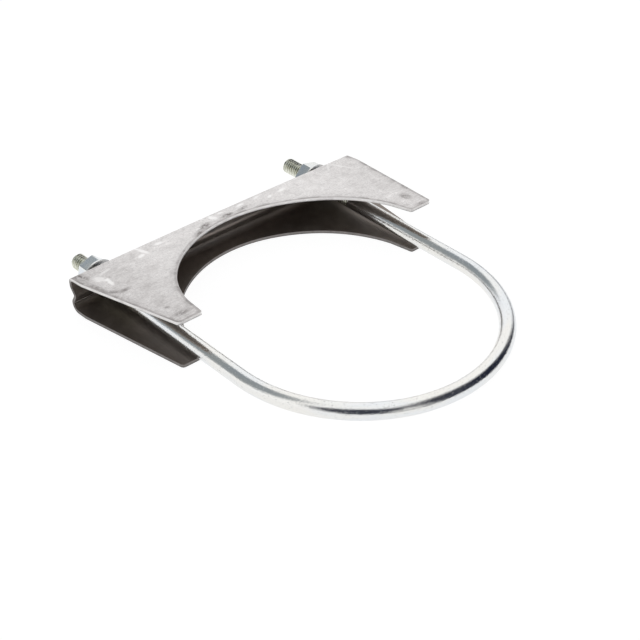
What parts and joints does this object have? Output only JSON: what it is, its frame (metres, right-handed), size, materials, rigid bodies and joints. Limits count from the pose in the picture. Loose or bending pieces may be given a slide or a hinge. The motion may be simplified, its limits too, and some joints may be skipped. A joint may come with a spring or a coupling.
{
  "type": "u-bolt",
  "caption": "U-bolt clamp for round pipe: a bent threaded rod, a fluted channel saddle with a half-round pipe seat, and hex flange nuts that draw the saddle along the legs.",
  "frame": {"origin": "middle of the rod's bend, where the pipe's axis crosses the plane of the rod", "axes": "+Z along the pipe, +Y from the bend along the legs to their threaded ends, +X from the left leg to the right leg"},
  "size_m": [0.1724, 0.1974, 0.026],
  "materials": {
    "plated_rod": "bright zinc plate, yellow-green in the threads",
    "raw_sheet": "mill-finish pressed sheet with scuffs, bright sheared edges and darker inside",
    "plated_nut": "blue-white zinc plate"
  },
  "bodies": {
    "bolt": {"u_bolt": "plated_rod"},
    "saddle": {"saddle": "raw_sheet"},
    "left_nut": {"left_flange_nut": "plated_nut"},
    "right_nut": {"right_flange_nut": "plated_nut"}
  },
  "joints": [
    {"name": "saddle_slide", "type": "slide", "parent": "bolt", "child": "saddle", "axis": [0, -1, 0], "range_m": [-0.00917, 0.02611]},
    {"name": "left_nut_turn", "type": "hinge", "parent": "saddle", "child": "left_nut", "pos_m": [-0.06747, 0.1046, 0], "axis": [0, -1, 0], "range_deg": [-2341, 6661]},
    {"name": "right_nut_turn", "type": "hinge", "parent": "saddle", "child": "right_nut", "pos_m": [0.06747, 0.1038, 0], "axis": [0, -1, 0], "range_deg": [-2341, 6661]}
  ],
  "couplings": [
    {"joint": "left_nut_turn", "follows": "saddle_slide", "rad_per_m": 4452.7},
    {"joint": "right_nut_turn", "follows": "saddle_slide", "rad_per_m": 4452.7}
  ]
}
